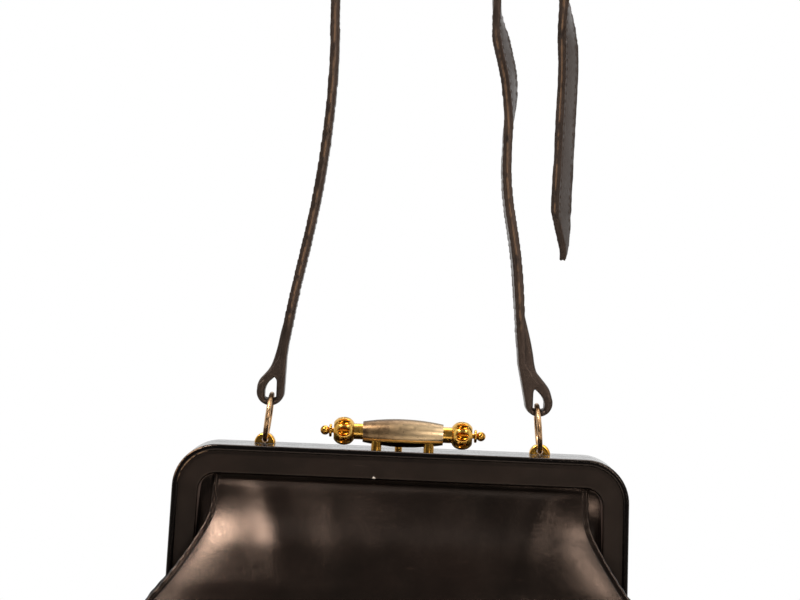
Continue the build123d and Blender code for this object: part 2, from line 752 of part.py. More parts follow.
def buckle_prong():
    heel, far, along, outward = buckle_axes()
    eye = Cylinder(PRONG_LOOP_RADIUS, PRONG_LOOP_WIDTH) - Cylinder(
        BUCKLE_WIRE_RADIUS + RUNNING_CLEARANCE, PRONG_LOOP_WIDTH
    )
    loop = Pos(heel) * Rot(90, 0, 0) * eye
    rise = BUCKLE_WIRE_RADIUS + PRONG_RADIUS + SOFT_CLEARANCE
    start = heel + along * (PRONG_LOOP_RADIUS - PRONG_RADIUS / 2) + outward * PRONG_RADIUS
    stop = far + outward * rise + along * PRONG_OVERHANG
    run = stop - start
    rod = Plane(origin=start, z_dir=run) * Cylinder(
        PRONG_RADIUS, run.length, align=(Align.CENTER, Align.CENTER, Align.MIN)
    )
    return loop + rod + Pos(stop) * Sphere(PRONG_RADIUS)


def both_sides(shape):
    return Compound([shape, left_of(shape)])


def main():
    os.makedirs("parts", exist_ok=True)
    cover = frame_cover()
    write("front_frame_cover", cover)
    write("rear_frame_cover", rear_of(cover))
    write("front_frame_channel", front_channel())
    write("rear_frame_channel", rear_channel())
    write("hinge_rivets", both_sides(hinge_rivet()))

    lower = (BASE_THICKNESS, FOLD_BOTTOM - SOFT_CLEARANCE)
    fold = (FOLD_BOTTOM, FOLD_TOP - SOFT_CLEARANCE)
    upper = (FOLD_TOP, FRAME_TOP)
    panel = front_panel()
    write("base", base())
    write("front_panel_lower", level(panel, *lower))
    write("front_panel_fold", level(panel, *fold))
    write("front_panel_upper", level(panel, *upper) + panel_tuck())
    write("rear_panel", rear_of(panel + panel_tuck()))
    gusset_lower = side_gusset(BASE_THICKNESS + SOFT_CLEARANCE, FOLD_BOTTOM - SOFT_CLEARANCE)
    gusset_fold = side_gusset(FOLD_BOTTOM, FOLD_TOP - SOFT_CLEARANCE)
    pleat = gusset_pleat()
    corner = corner_gusset()
    write("gusset_right_lower", gusset_lower)
    write("gusset_left_lower", left_of(gusset_lower))
    write("gusset_right_fold", gusset_fold)
    write("gusset_left_fold", left_of(gusset_fold))
    write("gusset_right_pleat", pleat)
    write("gusset_left_pleat", left_of(pleat))
    write("front_gusset_corners", both_sides(corner))
    write("rear_gusset_corners", both_sides(rear_of(corner)))
    floor = BASE_THICKNESS + SOFT_CLEARANCE
    piping = welt(floor, POUCH_FORM[-1][0])
    write("front_welts_lower", both_sides(welt(floor, FOLD_BOTTOM - SOFT_CLEARANCE)))
    write("front_welts_fold", both_sides(level(piping, *fold)))
    write("front_welts_upper", both_sides(level(piping, *upper)))
    write("rear_welts", both_sides(rear_of(piping)))

    write("clasp_barrel_cover", barrel_cover())
    write("clasp_barrel_tray", barrel_tray())
    write("clasp_posts", Compound([clasp_post(-1), clasp_post(1)]))
    write("clasp_catch", catch())
    write("clasp_rod", clasp_rod())
    write("clasp_latch_collar", latch_collar())
    write("clasp_spring", clasp_spring())
    right_knob = knob()
    write("clasp_knob_right", right_knob)
    write("clasp_knob_left", left_of(right_knob))
    write("clasp_finials", both_sides(finial()))

    write("ring_anchors", both_sides(anchor()))
    right_ring = ring(RING_WIRE_RADIUS)
    write("ring_right", right_ring)
    write("ring_left", left_of(right_ring))
    write("strap_long", strap_long())
    write("strap_short", strap_short())
    write("buckle_frame", buckle_frame())
    write("buckle_prong", buckle_prong())


main()
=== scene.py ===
import math

import bmesh
import bpy
import numpy as np
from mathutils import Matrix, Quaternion, Vector, noise
from mathutils.kdtree import KDTree


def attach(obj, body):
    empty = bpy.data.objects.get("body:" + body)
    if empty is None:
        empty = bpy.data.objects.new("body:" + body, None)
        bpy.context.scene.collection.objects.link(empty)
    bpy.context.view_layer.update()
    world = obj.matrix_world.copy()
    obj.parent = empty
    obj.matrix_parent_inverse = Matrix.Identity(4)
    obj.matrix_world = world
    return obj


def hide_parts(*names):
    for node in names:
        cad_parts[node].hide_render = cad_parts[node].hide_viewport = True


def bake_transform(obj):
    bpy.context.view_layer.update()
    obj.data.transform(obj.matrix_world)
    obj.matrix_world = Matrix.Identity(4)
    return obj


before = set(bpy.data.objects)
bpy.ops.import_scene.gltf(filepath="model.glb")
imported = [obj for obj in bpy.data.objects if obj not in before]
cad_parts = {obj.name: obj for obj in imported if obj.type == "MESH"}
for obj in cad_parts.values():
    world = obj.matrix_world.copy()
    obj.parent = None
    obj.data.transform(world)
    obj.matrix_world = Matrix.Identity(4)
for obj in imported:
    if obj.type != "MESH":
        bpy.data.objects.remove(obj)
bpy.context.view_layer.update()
bpy.ops.object.select_all(action="DESELECT")

MM = 0.001

# Leather handbag on a hinged frame: soft pouch, frame covers, barrel clasp, rings and strap.
# The lengths here are in millimetres and are the part's own.
FRAME_TOP = 200.0
FRAME_SIDE = 114.8
BAND = 13.0
TOP_BAND = 14.2
CORNER = 22.0
ARM_LEAN = math.radians(1.5)
LEAN_TOP = FRAME_TOP - 29.0
FRONT_FACE = 16.3
WELT = 2.0
CLASP_Y = -4.5
CLASP_Z = 208.5
KNOB_X = 29.85
KNOB_HALF = 5.1
KNOB_RADIUS = 7.25
KNOB_TAPER = 2.85
STRAP_Y = 5.5
STRAP_HALF = 6.0
LOOP_X = 68.16

# Where the frame's leather is rubbed through at a corner, and where a chip is torn off it
RUBBED_CORNER = (-107.5, -16.0, 193.0)
CHIP = (-13.8, -16.1, 186.2)

# Pouch leather: thickness, and the heights between which the sheets run
PANEL_LEATHER = 1.6
GUSSET_LEATHER = 1.2
SHEET_FOOT = 1.6
PANEL_TOP = 187.0
GUSSET_TOP = 187.4
PLEAT_FOOT = 95.0
# The panel's edge inside the side seam, its swell, and its distance from the middle where the frame grips it
PANEL_SEAM = 2.6
PANEL_SWELL = 4.5
GRIP_DEPTH = 13.0
# Pull lines down from the frame: place across the panel, lean, and height of the ridge
PULL_LINES = [(-0.8, 0.34, 0.9), (-0.42, 0.18, 0.4), (0.5, -0.2, 0.4), (0.82, -0.34, 0.8)]
# Gusset's folded edge: how far it runs under the frame's arm, and its distance from the middle there
TUCK = 0.8
PLEAT_DEPTH = 14.0
PLEAT_HALF = 12.0
GUSSET_PUCKER = 6.5
WELT_PUCKER = 5.2
WELT_SAMPLES = 300
PIPING_RADIUS = 1.5
PIPING_HEIGHT = 3.0

# Strap: fineness of its skin, crown of each face, unevenness, and the sewing's puckers along it
STRAP_VOXEL = 0.55
STRAP_CROWN = 0.3
UNEVEN = 0.22
PUCKER = 5.5
PUCKER_HEIGHT = 0.05
# Its edge: round of each layer's corner, groove between the layers and the pale raw line in the groove
CORNER_ROUND = 0.55
GROOVE_DEPTH = 0.55
GROOVE_HALF = 0.42
SEAM_HALF = 0.34
# Its stitches: spacing, and place in from the edge
STITCH_PITCH = 3.4
STITCH_INSET = 1.9

# Height, half-width at the side seams, depth at the corners, bow of the panel
POUCH = [
    (0.0, 128.0, 38.0, 4.0),
    (20.0, 134.0, 43.0, 5.0),
    (60.0, 140.0, 45.0, 6.0),
    (90.0, 140.0, 45.0, 6.0),
    (112.0, 131.0, 41.5, 5.0),
    (131.0, 116.0, 36.0, 4.0),
    (140.0, 109.5, 32.5, 3.5),
    (153.5, 101.0, 26.5, 3.0),
    (165.0, 95.5, 21.0, 2.0),
    (178.0, 94.2, 16.2, 1.0),
    (185.4, 94.0, 13.8, 0.4),
]
# Height and half-width of the gusset's middle
GUSSET = [
    (0.0, 124.0),
    (30.0, 130.5),
    (60.0, 135.0),
    (80.0, 133.5),
    (90.0, 129.0),
    (96.0, 119.0),
    (101.0, 108.0),
    (106.0, 102.5),
    (112.0, 100.0),
]
LONG_STRAP = [
    (-62.6, 244.4), (-59.2, 270.0), (-50.6, 315.0), (-44.6, 361.7), (-43.0, 404.4), (-43.6, 424.3),
    (-42.6, 445.0), (-36.0, 464.0), (-22.0, 476.0), (-5.0, 478.5), (11.0, 468.5), (24.5, 455.5),
    (34.7, 448.1), (44.9, 440.7), (58.0, 440.0), (66.0, 441.0), (71.0, 437.0), (72.5, 431.5),
]
# Place across, height and how far the tail has turned, in degrees
TAIL = [
    (72.2, 434.0, 0.0), (73.7, 424.0, -18.0), (75.0, 413.0, -32.0), (75.9, 403.0, -36.0),
    (76.2, 385.0, -36.0), (75.9, 365.0, -36.0), (75.7, 340.0, -36.0), (76.0, 320.0, -36.0),
    (77.2, 298.8, -36.0),
]
SHORT_STRAP = [
    (58.9, 246.1), (56.0, 278.5), (53.0, 303.4), (47.7, 333.2), (46.9, 363.2), (46.2, 390.7),
    (42.6, 405.5), (38.5, 437.5),
]
# Height and turn in degrees, where the short strap shows a little of its face before the buckle
SHORT_TURNS = [(200.0, 0.0), (362.0, 0.0), (386.0, -22.0), (412.0, -24.0), (428.0, 0.0), (460.0, 0.0)]
# Outer layer of each loop, bent round its ring and joined to the strap above it: height, then how far
# the layer's outer and inner faces lie inwards from the ring's middle
LEFT_LOOP = [
    (226.0, -6.95, -3.1), (229.0, -6.9, -2.3), (231.0, -6.4, -1.2), (233.0, -5.4, 0.8),
    (234.4, -4.2, 2.4), (237.0, -2.0, 4.5), (239.5, -0.4, 5.5), (242.5, 0.8, 6.0),
    (249.3, 2.6, 6.5), (257.8, 4.2, 7.5), (270.0, 7.3, 9.0),
]
RIGHT_LOOP = [
    (226.0, -6.95, -3.1), (229.0, -6.7, -2.0), (231.4, -6.0, 0.0), (233.4, -5.2, 2.4),
    (235.0, -4.2, 4.2), (237.0, -2.6, 6.0), (239.3, -0.6, 7.5), (242.0, 1.6, 8.3),
    (246.0, 2.9, 9.0), (251.0, 3.8, 9.5), (258.8, 5.6, 10.0), (275.0, 10.2, 12.0),
]


# Colour, nodes and materials

def colour(hex_value):
    """An sRGB hex value as the linear colour that a shader takes."""
    parts = [int(hex_value[i : i + 2], 16) / 255 for i in (0, 2, 4)]
    return [c / 12.92 if c <= 0.04045 else ((c + 0.055) / 1.055) ** 2.4 for c in parts] + [1.0]


def add(tree, kind, sockets, **settings):
    """A node with its settings; a socket takes a value or another node's output."""
    node = tree.nodes.new("ShaderNode" + kind)
    for key, value in settings.items():
        setattr(node, key, value)
    for key, value in sockets.items():
        if isinstance(value, bpy.types.NodeSocket):
            tree.links.new(value, node.inputs[key])
        else:
            node.inputs[key].default_value = value
    return node


def new_material(name):
    """A material, its tree and shader, and the output that gives a place on the piece."""
    material = bpy.data.materials.new(name)
    material.use_nodes = True
    tree = material.node_tree
    tree.nodes.clear()
    shader = add(tree, "BsdfPrincipled", {})
    add(tree, "OutputMaterial", {"Surface": shader.outputs[0]})
    place = add(tree, "TexCoord", {})
    return material, tree, shader, place.outputs["Object"]


def mottle(tree, coords, size_mm, detail, low, high, bottom=0.0, top=1.0, distortion=0.0):
    """Patches of a real size with soft edges, as a value that goes from bottom to top."""
    sockets = {"Vector": coords, "Scale": 1000 / size_mm, "Detail": detail, "Distortion": distortion}
    cloud = add(tree, "TexNoise", sockets).outputs["Fac"]
    sockets = {"Value": cloud, "From Min": low, "From Max": high, "To Min": bottom, "To Max": top}
    return add(tree, "MapRange", sockets, interpolation_type="SMOOTHSTEP").outputs[0]


def within(tree, *limits):
    """A mask, 1 where every value is past its soft limit: (value, where it starts, where it is full)."""
    mask = 1.0
    for value, start, full in limits:
        sockets = {"Value": value, "From Min": start, "From Max": full}
        soft = add(tree, "MapRange", sockets, interpolation_type="SMOOTHSTEP").outputs[0]
        mask = add(tree, "Math", {0: mask, 1: soft}, operation="MULTIPLY").outputs[0]
    return mask


def layered(tree, tone, *layers):
    """A tone with others laid over it in turn, each by its share: (share, hex value)."""
    for share, hex_value in layers:
        sockets = {0: share, 6: tone, 7: colour(hex_value)}
        tone = add(tree, "Mix", sockets, data_type="RGBA").outputs[2]
    return tone


def grain_bump(tree, coords, pebble_mm, depth_mm, crease_mm, crease_depth_mm, base=None):
    """Leather's pebble grain between fine cell lines, and its broader creases."""
    sockets = {"Vector": coords, "Scale": 1000 / pebble_mm}
    cells = add(tree, "TexVoronoi", sockets, feature="DISTANCE_TO_EDGE").outputs["Distance"]
    pebbles = within(tree, (cells, 0.0, 0.25))
    sockets = {"Strength": 1.0, "Distance": depth_mm * MM, "Height": pebbles}
    if base is not None:
        sockets["Normal"] = base
    fine = add(tree, "Bump", sockets).outputs[0]
    sockets = {"Vector": coords, "Scale": 1000 / crease_mm, "Detail": 4.0, "Distortion": 0.6}
    creases = add(tree, "TexNoise", sockets).outputs["Fac"]
    sockets = {"Strength": 1.0, "Distance": crease_depth_mm * MM, "Height": creases, "Normal": fine}
    return add(tree, "Bump", sockets).outputs[0]


def pouch_leather():
    """Aniline calf, very dark brown: a satin skin with fine grain, faint creases and rubbed scratches."""
    material, tree, shader, coords = new_material("pouch_calf_leather")
    patches = mottle(tree, coords, 45, 4.0, 0.35, 0.7)
    sockets = {"Vector": coords, "Scale": (0.25, 1.0, 1.6), "Rotation": (0, 0.5, 0)}
    stretched = add(tree, "Mapping", sockets).outputs[0]
    scratch = mottle(tree, stretched, 9, 6.0, 0.66, 0.74, top=0.3, distortion=1.5)
    tone = layered(tree, colour("0A0807"), (patches, "120D0B"), (scratch, "2E241F"))
    tree.links.new(tone, shader.inputs["Base Color"])
    rough = mottle(tree, coords, 18, 5.0, 0.3, 0.75, bottom=0.19, top=0.25)
    tree.links.new(rough, shader.inputs["Roughness"])
    shader.inputs["Specular IOR Level"].default_value = 0.4
    shader.inputs["Specular Tint"].default_value = colour("FFE2CF")
    tree.links.new(grain_bump(tree, coords, 0.9, 0.02, 16, 0.12), shader.inputs["Normal"])
    return material


def lining_cloth():
    """Rayon satin lining in dark brown, drawn with a twill coarse enough to show."""
    material, tree, shader, coords = new_material("lining_satin")
    shader.inputs["Base Color"].default_value = colour("3B2A22")
    shader.inputs["Roughness"].default_value = 0.5
    shader.inputs["Sheen Weight"].default_value = 0.3
    sockets = {"Vector": coords, "Scale": 400.0, "Distortion": 0.4}
    wave = add(tree, "TexWave", sockets, bands_direction="DIAGONAL").outputs["Fac"]
    bump = add(tree, "Bump", {"Strength": 0.3, "Distance": 0.1 * MM, "Height": wave}).outputs[0]
    tree.links.new(bump, shader.inputs["Normal"])
    return material


def frame_leather():
    """Glazed calf: glossy on the frame's bead and top, duller on its band, rubbed tan at one corner."""
    material, tree, shader, coords = new_material("frame_glazed_leather")
    place = add(tree, "SeparateXYZ", {"Vector": coords}).outputs
    facing = add(tree, "SeparateXYZ", {"Vector": coords.node.outputs["Normal"]}).outputs
    across = add(tree, "Math", {0: place[1]}, operation="ABSOLUTE").outputs[0]
    sideways = add(tree, "Math", {0: facing[0]}, operation="ABSOLUTE").outputs[0]
    frontal = add(tree, "Math", {0: facing[1]}, operation="ABSOLUTE").outputs[0]

    bead = within(tree, (across, (FRONT_FACE + 0.1) * MM, (FRONT_FACE + 0.5) * MM))
    glazed = bead
    for shiny in (within(tree, (facing[2], 0.5, 0.8)), within(tree, (sideways, 0.6, 0.9))):
        glazed = add(tree, "Math", {0: glazed, 1: shiny}, operation="MAXIMUM").outputs[0]

    sockets = {0: coords, 1: [length * MM for length in RUBBED_CORNER]}
    corner = add(tree, "VectorMath", sockets, operation="DISTANCE").outputs["Value"]
    worn = mottle(tree, coords, 2.6, 6.0, 0.42, 0.6, distortion=0.8)
    near = within(tree, (corner, 15.0 * MM, 3.0 * MM), (frontal, 0.25, 0.5), (frontal, 0.97, 0.8))
    rub = add(tree, "Math", {0: near, 1: worn}, operation="MULTIPLY").outputs[0]

    sockets = {0: coords, 1: [length * MM for length in CHIP]}
    chip = add(tree, "VectorMath", sockets, operation="DISTANCE").outputs["Value"]
    sockets = {"Vector": coords, "Scale": 1000 / 1.1, "Detail": 3.0}
    ragged = add(tree, "TexNoise", sockets).outputs["Fac"]
    torn = add(tree, "Math", {0: ragged, 1: 1.8 * MM, 2: chip}, operation="MULTIPLY_ADD").outputs[0]
    flake = within(tree, (torn, 1.75 * MM, 1.45 * MM))

    sockets = {"Vector": coords, "Scale": (0.08, 1.0, 1.0), "Rotation": (0, 0.08, 0)}
    lines = add(tree, "Mapping", sockets).outputs[0]
    scratches = mottle(tree, lines, 3.0, 5.0, 0.68, 0.74, top=0.3, distortion=0.4)
    patches = mottle(tree, coords, 30, 4.0, 0.35, 0.7)
    tone = layered(
        tree, colour("14100E"),
        (patches, "1D1714"), (glazed, "060505"), (rub, "94795F"), (flake, "D8D2C8"), (scratches, "4A3F39"),
    )
    tree.links.new(tone, shader.inputs["Base Color"])

    smudge = mottle(tree, coords, 12, 5.0, 0.3, 0.75, top=0.08)
    sockets = {"Value": glazed, "To Min": 0.3, "To Max": 0.08}
    rough = add(tree, "MapRange", sockets, interpolation_type="SMOOTHSTEP").outputs[0]
    rough = add(tree, "Math", {0: rough, 1: smudge}, operation="ADD").outputs[0]
    rough = add(tree, "Math", {0: rub, 1: 0.4, 2: rough}, operation="MULTIPLY_ADD").outputs[0]
    tree.links.new(rough, shader.inputs["Roughness"])
    shader.inputs["Specular IOR Level"].default_value = 0.3
    shader.inputs["Specular Tint"].default_value = colour("FFEBDD")
    tree.links.new(grain_bump(tree, coords, 0.7, 0.012, 20, 0.12), shader.inputs["Normal"])
    return material


def strap_leather():
    """Two layers of calf sewn face out: satin skin, and a paler raw edge between the layers."""
    material, tree, shader, coords = new_material("strap_sewn_leather")
    along = add(tree, "Attribute", {}, attribute_name="along").outputs["Fac"]
    seam = add(tree, "Attribute", {}, attribute_name="seam").outputs["Fac"]
    patches = mottle(tree, coords, 22, 4.0, 0.35, 0.7)
    broken = mottle(tree, coords, 5.0, 4.0, 0.36, 0.56, top=0.75)
    raw_edge = add(tree, "Math", {0: seam, 1: broken}, operation="MULTIPLY").outputs[0]
    tone = layered(tree, colour("1A1614"), (patches, "26201D"), (raw_edge, "7A5F47"))
    tree.links.new(tone, shader.inputs["Base Color"])
    rough = mottle(tree, coords, 10, 4.0, 0.3, 0.7, bottom=0.3, top=0.45)
    tree.links.new(rough, shader.inputs["Roughness"])
    shader.inputs["Specular IOR Level"].default_value = 0.6
    shader.inputs["Specular Tint"].default_value = colour("FFE2CF")
    turns = add(tree, "Math", {0: along, 1: 2 * math.pi / (PUCKER * MM)}, operation="MULTIPLY").outputs[0]
    folds = add(tree, "Math", {0: turns}, operation="SINE").outputs[0]
    ripple = add(tree, "Bump", {"Strength": 0.12, "Distance": 0.08 * MM, "Height": folds}).outputs[0]
    tree.links.new(grain_bump(tree, coords, 0.7, 0.03, 8, 0.35, ripple), shader.inputs["Normal"])
    return material


def thread():
    """Waxed linen thread, dark brown, twisted fibres across each stitch."""
    material, tree, shader, coords = new_material("waxed_thread")
    sockets = {"Vector": coords, "Scale": 1000 / 0.4, "Detail": 2.0}
    fibres = add(tree, "TexNoise", sockets).outputs["Fac"]
    tree.links.new(layered(tree, colour("2E231D"), (fibres, "4B3A30")), shader.inputs["Base Color"])
    shader.inputs["Roughness"].default_value = 0.55
    bump = add(tree, "Bump", {"Strength": 0.4, "Distance": 0.05 * MM, "Height": fibres}).outputs[0]
    tree.links.new(bump, shader.inputs["Normal"])
    return material


def gilt(name, bright, tarnished, roughness, brush_mm, mark_depth=0.006):
    """Gilded brass: warm mirror metal with soft handling marks and darker tarnish in patches."""
    material, tree, shader, coords = new_material(name)
    patches = mottle(tree, coords, 3.5, 5.0, 0.4, 0.72, distortion=0.5)
    tone = layered(tree, colour(bright), (patches, tarnished))
    tree.links.new(tone, shader.inputs["Base Color"])
    shader.inputs["Metallic"].default_value = 1.0
    spread = mottle(tree, coords, 2.2, 4.0, 0.3, 0.75, bottom=roughness, top=roughness + 0.14)
    tree.links.new(spread, shader.inputs["Roughness"])
    lines = add(tree, "Mapping", {"Vector": coords, "Scale": (0.05, 1.0, 1.0)}).outputs[0]
    sockets = {"Vector": lines, "Scale": 1000 / brush_mm, "Detail": 3.0}
    marks = add(tree, "TexNoise", sockets).outputs["Fac"]
    bump = add(tree, "Bump", {"Strength": 0.35, "Distance": mark_depth * MM, "Height": marks}).outputs[0]
    tree.links.new(bump, shader.inputs["Normal"])
    return material, tree, shader, coords, tone


def knob_gilt():
    """Cast lantern knobs: bright ribs, and a deeper orange gold in the almond hollows that is painted shade
    and tarnish.
    """
    material, tree, shader, coords, tone = gilt("gilt_cast_knob", "E6B85C", "C08A35", 0.16, 0.5)
    flat = add(tree, "VectorMath", {0: coords, 1: (0, 1, 1)}, operation="MULTIPLY").outputs[0]
    sockets = {0: flat, 1: (0, CLASP_Y * MM, CLASP_Z * MM)}
    radius = add(tree, "VectorMath", sockets, operation="DISTANCE").outputs["Value"]
    x = add(tree, "SeparateXYZ", {"Vector": coords}).outputs[0]
    outwards = add(tree, "Math", {0: x}, operation="ABSOLUTE").outputs[0]
    sockets = {0: outwards, 1: 1 / (KNOB_HALF * MM), 2: -KNOB_X / KNOB_HALF}
    run = add(tree, "Math", sockets, operation="MULTIPLY_ADD").outputs[0]
    squared = add(tree, "Math", {0: run, 1: run}, operation="MULTIPLY").outputs[0]
    sockets = {0: squared, 1: -KNOB_TAPER * MM, 2: KNOB_RADIUS * MM}
    profile = add(tree, "Math", sockets, operation="MULTIPLY_ADD").outputs[0]
    depth = add(tree, "Math", {0: profile, 1: radius}, operation="SUBTRACT").outputs[0]
    # Painted shade with tarnish: a deeper orange gold where the surface sinks below the ribs' profile.
    hollow_shade_and_tarnish = within(tree, (depth, 0.25 * MM, 1.1 * MM))
    tree.links.new(layered(tree, tone, (hollow_shade_and_tarnish, "B06A18")), shader.inputs["Base Color"])
    return material


def worn_gilt():
    """Barrel shell with its gilding rubbed to a brown-grey bronze and brushed, with a painted highlight
    towards one end and painted shade along its top.
    """
    material, tree, shader, coords, tone = gilt("worn_brushed_bronze", "867053", "5C4936", 0.32, 0.35, 0.012)
    x = add(tree, "SeparateXYZ", {"Vector": coords}).outputs[0]
    upward = add(tree, "SeparateXYZ", {"Vector": coords.node.outputs["Normal"]}).outputs[2]
    # Painted shade: the barrel's upward-facing top is darkened.
    crown = within(tree, (upward, 0.45, 0.85))
    crown = add(tree, "Math", {0: crown, 1: 0.75}, operation="MULTIPLY").outputs[0]
    spots = mottle(tree, coords, 1.1, 5.0, 0.62, 0.7, top=0.6, distortion=0.4)
    # Painted highlight: the shell is lighter towards its end at +x.
    painted_highlight_end = within(tree, (x, -14 * MM, 19 * MM))
    tone = layered(tree, tone, (painted_highlight_end, "D6C09A"), (crown, "3E3126"), (spots, "4A3B30"))
    tree.links.new(tone, shader.inputs["Base Color"])
    return material


def tray_gilt():
    """Barrel's underside: dark gold-brown, with a painted highlight along the raised bead at its edge."""
    material, tree, shader, coords, tone = gilt("gilt_barrel_tray", "E2B45A", "B98436", 0.18, 0.5)
    z = add(tree, "SeparateXYZ", {"Vector": coords}).outputs[2]
    # Painted highlight: a thin bright gold line along the raised bead at the edge.
    bead = within(tree, (z, (CLASP_Z - 4.6) * MM, (CLASP_Z - 4.1) * MM))
    tree.links.new(layered(tree, colour("7A4E1C"), (bead, "FFD27A")), shader.inputs["Base Color"])
    sockets = {"Value": bead, "To Min": 0.22, "To Max": 0.5}
    rough = add(tree, "MapRange", sockets, interpolation_type="SMOOTHSTEP").outputs[0]
    tree.links.new(rough, shader.inputs["Roughness"])
    return material


def steel(name, roughness):
    """Nickel-plated steel, drawn through rollers, so faint lines run along it."""
    material, tree, shader, coords = new_material(name)
    lines = add(tree, "Mapping", {"Vector": coords, "Scale": (0.04, 1.0, 1.0)}).outputs[0]
    sockets = {"Vector": lines, "Scale": 1000 / 0.5, "Detail": 3.0}
    drawn = add(tree, "TexNoise", sockets).outputs["Fac"]
    tree.links.new(layered(tree, colour("A9A59D"), (drawn, "C3BFB6")), shader.inputs["Base Color"])
    shader.inputs["Metallic"].default_value = 1.0
    sockets = {"Value": drawn, "From Min": 0.2, "From Max": 0.8}
    sockets |= {"To Min": roughness, "To Max": roughness + 0.15}
    rough = add(tree, "MapRange", sockets, interpolation_type="SMOOTHSTEP").outputs[0]
    tree.links.new(rough, shader.inputs["Roughness"])
    return material


POUCH_LEATHER = pouch_leather()
LINING = lining_cloth()
FRAME_LEATHER = frame_leather()
STRAP_LEATHER = strap_leather()
THREAD = thread()
GILT = gilt("gilt_polished_brass", "D9A548", "A8752C", 0.17, 0.5)[0]
PALE_GILT = gilt("gilt_pale_ring_wire", "C2A07A", "937452", 0.24, 2.0, 0.002)[0]
KNOB_GILT = knob_gilt()
WORN_GILT = worn_gilt()
TRAY_GILT = tray_gilt()
FRAME_STEEL = steel("nickel_plated_channel", 0.3)
SPRING_STEEL = steel("bright_spring_wire", 0.2)

CAD_FINISHES = {
    "front_frame_cover": FRAME_LEATHER,
    "rear_frame_cover": FRAME_LEATHER,
    "front_frame_channel": FRAME_STEEL,
    "rear_frame_channel": FRAME_STEEL,
    "hinge_rivets": FRAME_STEEL,
    "base": POUCH_LEATHER,
    "clasp_barrel_cover": WORN_GILT,
    "clasp_barrel_tray": TRAY_GILT,
    "clasp_posts": GILT,
    "clasp_catch": GILT,
    "clasp_rod": GILT,
    "clasp_latch_collar": GILT,
    "clasp_spring": SPRING_STEEL,
    "clasp_knob_left": KNOB_GILT,
    "clasp_knob_right": KNOB_GILT,
    "clasp_finials": GILT,
    "ring_anchors": GILT,
    "ring_left": PALE_GILT,
    "ring_right": PALE_GILT,
    "buckle_frame": GILT,
    "buckle_prong": GILT,
}
for node_name, finish in CAD_FINISHES.items():
    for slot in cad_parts[node_name].material_slots:
        slot.material = finish


# Curves, sheets and sweeps

def along_table(table, value):
    """The table's row at a height, on a smooth curve through its rows."""
    value = min(max(value, table[0][0]), table[-1][0])
    i = 0
    while i < len(table) - 2 and value > table[i + 1][0]:
        i += 1
    low, high = table[i], table[i + 1]
    before = table[i - 1] if i > 0 else low
    after = table[i + 2] if i + 2 < len(table) else high
    span = high[0] - low[0]
    t = (value - low[0]) / span
    out = []
    for k in range(1, len(low)):
        slope_in = (high[k] - before[k]) / (high[0] - before[0]) * span
        slope_out = (after[k] - low[k]) / (after[0] - low[0]) * span
        t2, t3 = t * t, t * t * t
        out.append(
            (2 * t3 - 3 * t2 + 1) * low[k] + (t3 - 2 * t2 + t) * slope_in
            + (-2 * t3 + 3 * t2) * high[k] + (t3 - t2) * slope_out
        )
    return out


def smooth(low, high, value):
    """A soft step, 0 at low and 1 at high."""
    t = min(max((value - low) / (high - low), 0.0), 1.0)
    return t * t * (3 - 2 * t)


def arm_x(inset, height):
    """How far out a line inside the frame's leaning arm lies at a height."""
    return FRAME_SIDE + (LEAN_TOP - height) * math.tan(ARM_LEAN) - inset / math.cos(ARM_LEAN)


def band_edge(height):
    """Half-width of the frame's opening at a height, round its upper corners."""
    radius = CORNER - BAND
    rounded = min(max(0.0, height - (FRAME_TOP - TOP_BAND - radius)), radius)
    return arm_x(BAND, height) - (radius - math.sqrt(radius**2 - rounded**2))


def lump(point, size, seed):
    """Soft unevenness of a real size, between about -1 and 1."""
    return noise.noise(Vector(point) / size + Vector((seed * 7.3, seed * 3.1, seed)))


def build(name, points, faces, material):
    """A piece from points in millimetres."""
    mesh = bpy.data.meshes.new(name)
    mesh.from_pydata([Vector(p) * MM for p in points], [], faces)
    mesh.materials.append(material)
    piece = bpy.data.objects.new(name, mesh)
    bpy.context.collection.objects.link(piece)
    mesh.shade_smooth()
    return piece


def sheet_faces(rows, columns, flip):
    """Faces between rows of points, flipped where the rows run the other way round."""
    faces = []
    for i in range(rows - 1):
        for j in range(columns - 1):
            a = i * columns + j
            quad = (a, a + 1, a + columns + 1, a + columns)
            faces.append(quad[::-1] if flip else quad)
    return faces


def apply_modifier(piece, kind, **settings):
    """Add a modifier with its settings and make its result the piece's own mesh."""
    modifier = piece.modifiers.new(kind.title(), kind)
    for key, value in settings.items():
        setattr(modifier, key, value)
    bpy.ops.object.select_all(action="DESELECT")
    bpy.context.view_layer.objects.active = piece
    piece.select_set(True)
    bpy.ops.object.modifier_apply(modifier=modifier.name)
    piece.select_set(False)


def face_outwards(piece):
    """Turn every face of a closed piece to its outside."""
    shell = bmesh.new()
    shell.from_mesh(piece.data)
    bmesh.ops.recalc_face_normals(shell, faces=shell.faces)
    shell.to_mesh(piece.data)
    shell.free()


def leather_sheet(name, grid, flip, thickness):
    """A sheet from rows of points on its outer face, with its thickness inwards and the lining inside."""
    faces = sheet_faces(len(grid), len(grid[0]), flip)
    piece = build(name, [point for row in grid for point in row], faces, POUCH_LEATHER)
    piece.data.materials.append(LINING)
    settings = {"offset": -1.0, "material_offset": 1, "material_offset_rim": 0}
    apply_modifier(piece, "SOLIDIFY", thickness=thickness * MM, **settings)
    piece.data.shade_smooth()
    return piece


def swept(name, frames, section, material, closed=False):
    """A section of (a, b) points carried along frames of (centre, a direction, b direction, scale)."""
    points = []
    for centre, first, second, scale in frames:
        for a, b in section:
            points.append(centre + first * (a * scale) + second * (b * scale))
    n, m = len(frames), len(section)
    faces = []
    for i in range(n if closed else n - 1):
        for j in range(m):
            a, b = i * m + j, i * m + (j + 1) % m
            c, d = ((i + 1) % n) * m + (j + 1) % m, ((i + 1) % n) * m + j
            faces.append((a, b, c, d))
    if not closed:
        faces += [tuple(range(m))[::-1], tuple(range((n - 1) * m, n * m))]
    piece = build(name, points, faces, material)
    face_outwards(piece)
    return piece


# Pouch panels

